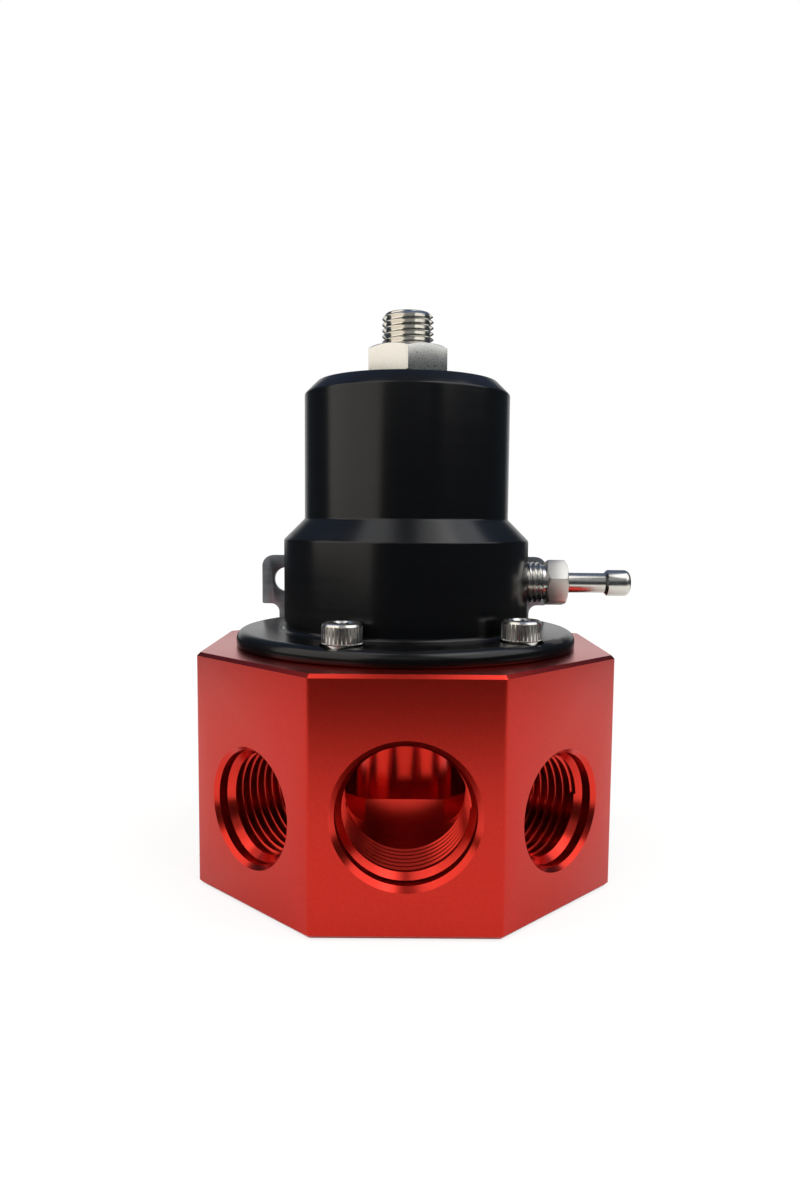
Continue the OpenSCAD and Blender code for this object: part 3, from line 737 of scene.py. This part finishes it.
# The head has sixty knurls, drawn as thirty so that they show.
knurls = 30
knurl_depth = 0.36
cap_outline = [
    (0, -cap_length),
    (cap_shank - point_bevel, -cap_length),
    (cap_shank, point_bevel - cap_length),
    (cap_shank, 0),
    (cap_radius - 0.42, 0),
    (cap_radius - 0.38, 0.65),
    (cap_radius - 0.03, 0.85),
    (cap_radius, 0.95),
    (cap_radius, cap_height - 0.6),
    (cap_radius - 0.03, cap_height - 0.5),
    (cap_radius - 0.22, cap_height - 0.14),
    (cap_radius - 0.45, cap_height),
    (0, cap_height),
]
cap_screw = turn("cap_screw", cap_outline, 4 * knurls)
bpy.ops.object.mode_set(mode="EDIT")
bpy.ops.mesh.select_mode(type="VERT")
bpy.ops.mesh.select_all(action="DESELECT")
bpy.ops.object.mode_set(mode="OBJECT")
for vertex in cap_screw.data.vertices:
    step = math.atan2(vertex.co.y, vertex.co.x) / math.pi * 2 * knurls
    at_rim = math.hypot(vertex.co.x, vertex.co.y) > (cap_radius - 0.01) * mm
    vertex.select = at_rim and round(step) % 4 < 2
bpy.ops.object.mode_set(mode="EDIT")
groove_scale = (cap_radius - knurl_depth) / cap_radius
bpy.ops.transform.resize(value=(groove_scale, groove_scale, 1), center_override=(0, 0, 0))
bpy.ops.object.mode_set(mode="OBJECT")


def lead_tool(name, radius, depth, top):
    """The countersink for the mouth of a key socket, at 45 degrees from a radius up, in mm."""
    over = top + 0.1
    floor = top - depth
    return turn(name, [(0, floor), (radius, floor), (radius + over - floor, over), (0, over)], 50)


cap_key = bar("cap_key_tool", 6, cap_key_flats, cap_height - cap_key_depth, cap_height + 1)
carve(cap_screw, lead_tool("key_lead_tool", 1.85, 0.35, cap_height), cap_key)
smooth(cap_screw, 22)
# Stainless steel, cold headed: bright grey metal whose knurl splits the light into fine upright lines.
stainless = grained(
    "stainless_steel_cold_headed",
    {"Metallic": 1.0},
    grain=0.8,
    detail=4,
    roughness=(0.18, 0.26),
    colours=("#cfcdc8", "#e6e4df"),
)
dress(cap_screw, stainless)
# Steel in a broached key socket: dull, and painted dark grey as painted shade in the recess. The tool marks
# run down its walls.
socket_painted_shade = grained(
    "steel_broached_painted_shade",
    {"Metallic": 1.0},
    grain=0.25,
    detail=3,
    roughness=(0.4, 0.55),
    colours=("#3d3c3a", "#585653"),
    stretch=(1, 1, 0.1),
)


def paint_socket_shade(piece, reach, low, high):
    """Gives the dull finish, painted dark grey as painted shade, to the faces within a radius of +Z and
    between two heights, in mm.
    """
    piece.data.materials.append(socket_painted_shade)
    for panel in piece.data.polygons:
        x, y, z = panel.center / mm
        if math.hypot(x, y) < reach and low < z < high:
            panel.material_index = 1


paint_socket_shade(cap_screw, 2.1, cap_height - cap_key_depth - 0.1, cap_height - 0.4)
for number, bearing in enumerate(cap_bearings, 1):
    copy = copy_of(cap_screw, f"cap_screw_{number}")
    round_body = Matrix.Rotation(math.radians(bearing), 4, "Z")
    set_down(copy, round_body @ Matrix.Translation((0, -screw_circle * mm, cap_seat * mm)))
    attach(copy, "housing")
    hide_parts("cap_screws")
bpy.data.objects.remove(cap_screw)

# Adjusting screw: a threaded stainless stud with bevelled ends and a key socket in its top, screwed
# through the roof of the bonnet onto the spring button.
stud_radius = 4.76
stud_root = 4.15
stud_low = 76.2
stud_high = 102.6
stud_pitch = 1.0583
stud_bevel = 0.7
stud_key_flats = 4.76
stud_key_depth = 5
stud_outline = [
    (0, stud_low),
    (stud_radius - stud_bevel, stud_low),
    (stud_radius, stud_low + stud_bevel),
    (stud_radius, stud_high - stud_bevel),
    (stud_radius - stud_bevel, stud_high),
    (0, stud_high),
]
stud = turn("adjusting_stud", stud_outline, 96)
die = [
    (stud_radius + 0.03, stud_low - 1.5),
    (stud_root, stud_low - 1.06),
    (stud_root, stud_low - 0.92),
    (stud_radius + 0.03, stud_low - 0.48),
]
stud_die = set_down(coil("stud_die", die, stud_pitch, 28, 96), off_seam)
stud_key = bar("stud_key_tool", 6, stud_key_flats, stud_high - stud_key_depth, stud_high + 1)
carve(stud, stud_die, lead_tool("stud_lead_tool", 2.4, 0.4, stud_high), stud_key)
smooth(stud, 28)
# Steel stud, rolled thread: bright and slightly warm, with faint wear that dulls it in patches.
rolled_steel = grained(
    "bright_steel_rolled_thread",
    {"Metallic": 1.0},
    grain=1.2,
    detail=4,
    roughness=(0.1, 0.2),
    colours=("#d9d5cc", "#ece9e2"),
)
dress(stud, rolled_steel)
paint_socket_shade(stud, 2.8, stud_high - stud_key_depth - 0.1, stud_high - 0.45)
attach(stud, "adjuster")
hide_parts("adjusting_screw")

# Sealing washer: a thin punched ring under the jam nut, whose lip grips the thread and keeps the
# reference pressure in.
washer_radius = 7.0
washer_top = 90.8
washer_edge = 0.1


def flat_ring(name, bore, radius, low, high):
    """A flat washer with broken outer edges, between two heights in mm."""
    inner = radius - washer_edge
    lower = [(bore, low), (inner, low), (radius, low + washer_edge)]
    upper = [(radius, high - washer_edge), (inner, high), (bore, high)]
    ring = turn(name, lower + upper, 96, True)
    smooth(ring)
    return ring


washer = flat_ring("seal_washer_ring", stud_bore, washer_radius, bonnet_top, washer_top)
# Nylon, punched from sheet: off-white, slightly waxy.
nylon = grained(
    "nylon_punched_sheet",
    {"IOR": 1.53, "Subsurface Weight": 0.05, "Subsurface Scale": mm},
    grain=1.5,
    detail=3,
    roughness=(0.35, 0.5),
    colours=("#c9c8c2", "#dcdbd6"),
)
dress(washer, nylon)
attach(washer, "nut_seal")
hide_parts("seal_washer")

# Jam nut: a zinc plated hexagon nut, bevelled at both ends, that locks the adjusting screw. One corner
# points at the inlet.
nut_flats = 14.29
nut_low = washer_top
nut_high = 96.36
nut_lead = 0.35
nut_corner = nut_flats / 2 / math.cos(math.pi / 6)
nut = bar("lock_nut_hexagon", 6, nut_flats, nut_low, nut_high)
crown = nut_flats / 2 - 0.15
drop = (nut_corner + 1 - crown) * math.tan(math.radians(30))
crown_outline = [
    (stud_bore, nut_low + nut_lead),
    (stud_bore + nut_lead, nut_low),
    (crown, nut_low),
    (nut_corner + 1, nut_low + drop),
    (nut_corner + 1, nut_high - drop),
    (crown, nut_high),
    (stud_bore + nut_lead, nut_high),
    (stud_bore, nut_high - nut_lead),
]
carve(nut, turn("nut_crown_tool", crown_outline, 128, True), way="INTERSECT")
break_edges(nut, 0.2, 3, 20)
smooth(nut, 30)
dress(nut, zinc)
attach(nut, "lock_nut")
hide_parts("jam_nut")

# Reference nipple: a nickel plated brass fitting with a pipe thread, hexagon, tube and hose barb turned
# from one bar. It screws into the skirt and carries the boost or vacuum hose.
nipple_bore = 1.1
nipple_start = 16.1
pipe_radius = 3.85
pipe_root = 3.3
pipe_bevel = 0.4
pipe_end = 25.4
pipe_pitch = 0.94
hex_start = 26.4
hex_end = 30.3
hex_flats = 7.94
hex_corner = 4.7
hex_turn = -13
tube_radius = 1.9
barb_start = 37.6
barb_end = 42.5
barb_radius = 2.5
barb_round = 1.2
nipple_outline = [
    (nipple_bore, nipple_start),
    (pipe_radius - pipe_bevel, nipple_start),
    (pipe_radius, nipple_start + pipe_bevel),
    (pipe_radius, pipe_end),
    (pipe_root, pipe_end + 0.3),
    (pipe_root - 0.05, hex_start + 0.2),
    (tube_radius, hex_start + 0.2),
    (tube_radius, barb_start),
    (barb_radius - 0.05, barb_start + 0.5),
    (barb_radius, barb_start + 0.75),
    *arc(barb_radius - barb_round, barb_end - barb_round, barb_round, 0, 90, 9),
    (nipple_bore, barb_end),
]
nipple = turn("hose_nipple", nipple_outline, 96, True)
pipe_die = [(4.0, 15.2), (pipe_root, 15.55), (pipe_root, 15.65), (4.0, 16.0)]
carve(nipple, coil("pipe_die", pipe_die, pipe_pitch, 11, 64))
hexagon = bar("nipple_hexagon", 6, hex_flats, hex_start, hex_end, hex_turn)
hex_crown = [
    (1.5, hex_start),
    (pipe_radius, hex_start),
    (hex_corner, hex_start + 0.5),
    (hex_corner, hex_end - 0.5),
    (pipe_radius, hex_end),
    (1.5, hex_end),
]
carve(hexagon, turn("hexagon_crown_tool", hex_crown, 96, True), way="INTERSECT")
carve(nipple, hexagon, way="UNION")
break_edges(nipple, 0.06, 2, 40)
set_down(nipple, side_place)
smooth(nipple, 30)
# Nickel plate on turned brass: a grey silver metal, brushed faintly round the bar.
nickel = grained(
    "nickel_plated_brass_turned",
    {"Metallic": 1.0},
    grain=0.3,
    detail=3,
    roughness=(0.19, 0.26),
    colours=("#c4c1bb", "#d2cfc9"),
    stretch=(1, 0.05, 0.05),
)
dress(nipple, nickel)
# The same plate on the milled flats of the hexagon, which are duller.
nickel_flats = grained(
    "nickel_plated_brass_milled",
    {"Metallic": 1.0},
    grain=0.3,
    detail=3,
    roughness=(0.36, 0.46),
    colours=("#bdbab4", "#d2cfc9"),
    stretch=(0.08, 1, 1),
)
nipple.data.materials.append(nickel_flats)
for panel in nipple.data.polygons:
    x, y, z = panel.center / mm
    on_hexagon = hex_start - 0.1 < x < hex_end + 0.1 and math.hypot(y, z - nipple_level) > 3.4
    panel.material_index = 1 if on_hexagon else 0
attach(nipple, "housing")
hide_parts("reference_nipple")

# Bracket: a flat stamping of plated steel behind the body, with two drilled ears beside the bonnet and
# a wide notch between them. Two screws hold it to the back face.
bracket_front = 36.5
bracket_back = 38.4
ear_outer = 32.8
ear_top = 56.4
ear_bottom = 45.2
leg = 28.9
notch_half = 18.0
notch_floor = 35.5
bracket_bottom = 12.0
bend = 6.0
ear_round = 2.5
inner_round = 1.95
ear_hole_x = 27.2
ear_hole_level = 50.8
ear_hole_radius = 2.8
bracket_screw_x = 9
bracket_screw_level = 24
bracket_screw_hole = 2.55
right_half = [
    *arc(leg - bend, bracket_bottom + bend, bend, -90, 0, 10),
    *arc(leg + inner_round, ear_bottom - inner_round, inner_round, 180, 90, 8),
    *arc(ear_outer - 0.4, ear_bottom + 0.4, 0.4, -90, 0, 4),
    *arc(ear_outer - ear_round, ear_top - ear_round, ear_round, 0, 90, 8),
    *arc(notch_half + 0.4, ear_top - 0.4, 0.4, 90, 180, 4),
    *arc(notch_half - bend, notch_floor + bend, bend, 0, -90, 10),
]
left_half = [(-x, z) for x, z in reversed(right_half)]
bracket = draw("mounting_bracket", right_half + left_half, True)
bpy.ops.mesh.edge_face_add()
sheet_thickness = (0, (bracket_back - bracket_front) * mm, 0)
bpy.ops.mesh.extrude_region_move(TRANSFORM_OT_translate={"value": sheet_thickness})
leave_edit()
set_down(bracket, Matrix.Translation((0, bracket_front * mm, 0)))
to_back = Matrix.Rotation(math.radians(-90), 4, "X")
for x, z, radius in [
    (-ear_hole_x, ear_hole_level, ear_hole_radius),
    (ear_hole_x, ear_hole_level, ear_hole_radius),
    (-bracket_screw_x, bracket_screw_level, bracket_screw_hole),
    (bracket_screw_x, bracket_screw_level, bracket_screw_hole),
]:
    drill = turn("bracket_drill", [(0, 30), (radius, 30), (radius, 45), (0, 45)], 48)
    carve(bracket, set_down(drill, Matrix.Translation((x * mm, 0, z * mm)) @ to_back))
break_edges(bracket, 0.18, 2, 50)
smooth(bracket, 30)
# Plated steel sheet, stamped: mid grey with a blue cast, rolling lines along it and dull patches.
plated_sheet = grained(
    "plated_steel_sheet_stamped",
    {"Metallic": 1.0},
    grain=1.1,
    detail=4,
    roughness=(0.3, 0.5),
    colours=("#71757b", "#8b8f94"),
    stretch=(0.08, 1, 1),
)
dress(bracket, plated_sheet)
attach(bracket, "housing")
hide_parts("bracket")

# Bracket screws and washers: two button head screws of stainless steel on zinc plated washers.
# One of each is modelled and copied.
button_radius = 4.2
button_base = 0.7
button_rise = 1.9
button_shank = 2.4
button_length = 12.1
button_top = 2.45
button_key_flats = 3.18
button_key_floor = 1.0
flat_radius = 4.4
flat_height = 1.2
head_angles = [math.radians(k) for k in range(0, 61, 10)]
head_arc = [(button_radius * math.cos(a), button_base + button_rise * math.sin(a)) for a in head_angles]
button_outline = [
    (0, -button_length),
    (button_shank - point_bevel, -button_length),
    (button_shank, point_bevel - button_length),
    (button_shank, 0),
    (button_radius - 0.2, 0),
    (button_radius, 0.2),
    *head_arc,
    (0, button_top),
]
button_screw = turn("bracket_screw", button_outline, 96)
carve(button_screw, bar("button_key_tool", 6, button_key_flats, button_key_floor, 3.5))
smooth(button_screw, 28)
dress(button_screw, stainless)
paint_socket_shade(button_screw, 1.75, button_key_floor - 0.1, button_top - 0.25)
flat_washer = flat_ring("bracket_washer", bracket_screw_hole, flat_radius, 0, flat_height)
dress(flat_washer, zinc)
for number, x in enumerate([-bracket_screw_x, bracket_screw_x], 1):
    for master, rise, node, slot in [
        (button_screw, bracket_back + flat_height, "bracket_screws", "stainless"),
        (flat_washer, bracket_back, "bracket_washers", "zinc_steel"),
    ]:
        copy = copy_of(master, f"{master.name}_{number}")
        set_down(copy, Matrix.Translation((x * mm, rise * mm, bracket_screw_level * mm)) @ to_back)
        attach(copy, "housing")
        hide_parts(node)
bpy.data.objects.remove(button_screw)
bpy.data.objects.remove(flat_washer)

# Gauge plug: a zinc plated pipe plug with a key socket, sealed into the gauge port just below the face.
# Its thread is hidden in the port.
plug_inset = 0.6
plug_end = 7.6
plug_radius = 4.85
plug_bevel = 0.4
plug_key_flats = 4.76
plug_key_floor = 4.6
plug_outline = [
    (0, -plug_end),
    (plug_radius - plug_bevel - 0.05, -plug_end),
    (plug_radius - 0.05, plug_bevel - plug_end),
    (plug_radius, -plug_inset - plug_bevel),
    (plug_radius - plug_bevel, -plug_inset),
    (0, -plug_inset),
]
plug = turn("gauge_port_plug", plug_outline, 96)
carve(plug, bar("plug_key_tool", 6, plug_key_flats, -plug_key_floor, 1))
dress(plug, zinc)
paint_socket_shade(plug, 2.7, -plug_key_floor - 0.1, -plug_inset - 0.05)
set_down(plug, on_face(gauge_bearing, gauge_level))
smooth(plug)
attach(plug, "housing")
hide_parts("gauge_plug")

# Studio floor: a white table top, pale to the camera everywhere, that keeps the shadow. To the metal it
# is a table two thirds of a metre across in a dim room, and its front edge is close to the inlet.
bpy.ops.object.select_all(action="DESELECT")
bpy.ops.mesh.primitive_plane_add(size=12, location=(0, 0, -0.2 * mm))
floor = set_down(bpy.context.object, Matrix.Identity(4))
floor.name = "studio_floor"
# White laminate: an even, almost matt white.
table_top, tree, shader, place = new_finish(
    "white_laminate_table", {"Base Color": linear("#f4f4f2"), "Roughness": 0.7, "Specular IOR Level": 0.1}
)
ray = add_node(tree, "ShaderNodeLightPath", {}, {})
pale = add_node(tree, "ShaderNodeEmission", {"Color": (1, 1, 1, 1), "Strength": 1.06}, {})
split = add_node(tree, "ShaderNodeSeparateXYZ", {}, {"Vector": place})
away = add_node(tree, "ShaderNodeVectorMath", {"operation": "LENGTH"}, {0: place})
paler = add_node(
    tree,
    "ShaderNodeMapRange",
    {"From Min": 0.08, "From Max": 0.3, "To Min": 0.75, "To Max": 1.0},
    {"Value": away.outputs["Value"]},
)
share = add_node(
    tree,
    "ShaderNodeMath",
    {"operation": "MULTIPLY"},
    {0: ray.outputs["Is Camera Ray"], 1: paler.outputs[0]},
)
lit = add_node(
    tree, "ShaderNodeMixShader", {}, {0: share.outputs[0], 1: shader.outputs[0], 2: pale.outputs[0]}
)
side_edge = add_node(
    tree, "ShaderNodeMapRange", {"From Min": 0.28, "From Max": 0.4}, {"Value": away.outputs["Value"]}
)
front_edge = add_node(
    tree, "ShaderNodeMapRange", {"From Min": -0.125, "From Max": -0.18}, {"Value": split.outputs["Y"]}
)
edge = add_node(
    tree, "ShaderNodeMath", {"operation": "MAXIMUM"}, {0: side_edge.outputs[0], 1: front_edge.outputs[0]}
)
mirrored = add_node(
    tree,
    "ShaderNodeMath",
    {"operation": "MULTIPLY"},
    {0: edge.outputs[0], 1: ray.outputs["Is Glossy Ray"]},
)
dim = add_node(tree, "ShaderNodeEmission", {"Color": linear("#282829"), "Strength": 1.0}, {})
ground = add_node(
    tree, "ShaderNodeMixShader", {}, {0: mirrored.outputs[0], 1: lit.outputs[0], 2: dim.outputs[0]}
)
tree.links.new(ground.outputs[0], tree.nodes["Material Output"].inputs["Surface"])
dress(floor, table_top)

# Studio room: white to the camera. The metal mirrors a pale wall right behind the part, a dim ceiling
# that is bluer behind, and a dark room in front and at the sides.
world = bpy.data.worlds.new("studio_room")
bpy.context.scene.world = world
world.use_nodes = True
tree = world.node_tree
ray = add_node(tree, "ShaderNodeLightPath", {}, {})
toward = add_node(tree, "ShaderNodeTexCoord", {}, {}).outputs["Generated"]
split = add_node(tree, "ShaderNodeSeparateXYZ", {}, {"Vector": toward})
wall = add_node(
    tree,
    "ShaderNodeMapRange",
    {"interpolation_type": "SMOOTHSTEP", "From Min": 0.8, "From Max": 0.95},
    {"Value": split.outputs["Y"]},
)
ceiling = add_node(
    tree,
    "ShaderNodeMapRange",
    {"interpolation_type": "SMOOTHSTEP", "From Min": 0.25, "From Max": 0.85},
    {"Value": split.outputs["Z"]},
)
over_front = add_node(
    tree,
    "ShaderNodeMapRange",
    {"From Min": 0.25, "From Max": -0.1},
    {"Value": split.outputs["Y"]},
)
overhead = add_node(
    tree,
    "ShaderNodeMix",
    {"data_type": "RGBA", 6: linear("#5f7090"), 7: linear("#74787f")},
    {0: over_front.outputs[0]},
)
dark_room = add_node(
    tree,
    "ShaderNodeMix",
    {"data_type": "RGBA", 6: linear("#343c44")},
    {0: ceiling.outputs[0], 7: overhead.outputs[2]},
)
whole_room = add_node(
    tree,
    "ShaderNodeMix",
    {"data_type": "RGBA", 7: linear("#d8d8d8")},
    {0: wall.outputs[0], 6: dark_room.outputs[2]},
)
room = add_node(tree, "ShaderNodeBackground", {"Strength": 1.0}, {"Color": whole_room.outputs[2]})
fill = add_node(tree, "ShaderNodeBackground", {"Color": (1, 1, 1, 1), "Strength": 0.72}, {})
white = add_node(tree, "ShaderNodeBackground", {"Color": (1, 1, 1, 1), "Strength": 1.0}, {})
mirrored = add_node(
    tree,
    "ShaderNodeMath",
    {"operation": "MAXIMUM"},
    {0: ray.outputs["Is Glossy Ray"], 1: ray.outputs["Is Transmission Ray"]},
)
around = add_node(
    tree, "ShaderNodeMixShader", {}, {0: mirrored.outputs[0], 1: fill.outputs[0], 2: room.outputs[0]}
)
sky = add_node(
    tree,
    "ShaderNodeMixShader",
    {},
    {0: ray.outputs["Is Camera Ray"], 1: around.outputs[0], 2: white.outputs[0]},
)
tree.links.new(sky.outputs[0], tree.nodes["World Output"].inputs["Surface"])

# Soft lights: a large warm panel on the left, a higher one on the right, two small ones overhead, and a
# dim strip over the camera that picks out the threads of the inlet.
aim = Vector((0, 0, 0.06))


def soft_box(name, place, width, height, radiance, tint):
    """A soft light panel at a place in metres, aimed at the bonnet, with the radiance of its surface."""
    lamp = bpy.data.lights.new(name, "AREA")
    lamp.shape = "RECTANGLE"
    lamp.size = width
    lamp.size_y = height
    lamp.energy = radiance * math.pi * width * height
    lamp.color = linear(tint)[:3]
    panel = bpy.data.objects.new(name, lamp)
    bpy.context.scene.collection.objects.link(panel)
    back = (Vector(place) - aim).normalized()
    panel.matrix_world = Matrix.Translation(place) @ back.to_track_quat("Z", "Y").to_matrix().to_4x4()


soft_box("left_panel", (-0.507, -0.269, 0.375), 0.85, 0.6, 1.2, "#fff8ee")
soft_box("right_panel", (0.41, -0.166, 0.503), 0.66, 0.56, 1.4, "#ffffff")
soft_box("top_left_panel", (-0.23, -0.17, 0.66), 0.34, 0.3, 1.3, "#ffffff")
soft_box("top_right_panel", (0.23, -0.17, 0.66), 0.34, 0.3, 1.3, "#ffffff")
soft_box("front_strip", (0, -0.53, 0.39), 0.55, 0.28, 0.25, "#ffffff")

# Camera: close in front of the inlet and a little above the middle, looking slightly down.
# The image is taken as 800 by 1200 pixels, and the lens is given by its focal length in those pixels.
image_height = 1200
focal_pixels = 891.14
camera_place = (-1.63 * mm, -169.02 * mm, 64.85 * mm)
yaw = math.radians(-0.19)
pitch = math.radians(5.179)
roll = math.radians(0.466)
lens = bpy.data.cameras.new("photo_camera")
lens.sensor_width = 36
lens.lens = lens.sensor_width * focal_pixels / image_height
lens.clip_start = 0.01
lens.clip_end = 50
camera = bpy.data.objects.new("photo_camera", lens)
bpy.context.scene.collection.objects.link(camera)
level = Matrix.Rotation(yaw, 4, "Z") @ Matrix.Rotation(math.pi / 2 - pitch, 4, "X")
camera.matrix_world = Matrix.Translation(camera_place) @ level @ Matrix.Rotation(roll, 4, "Z")
bpy.context.scene.camera = camera
bpy.context.scene.view_settings.view_transform = "Standard"
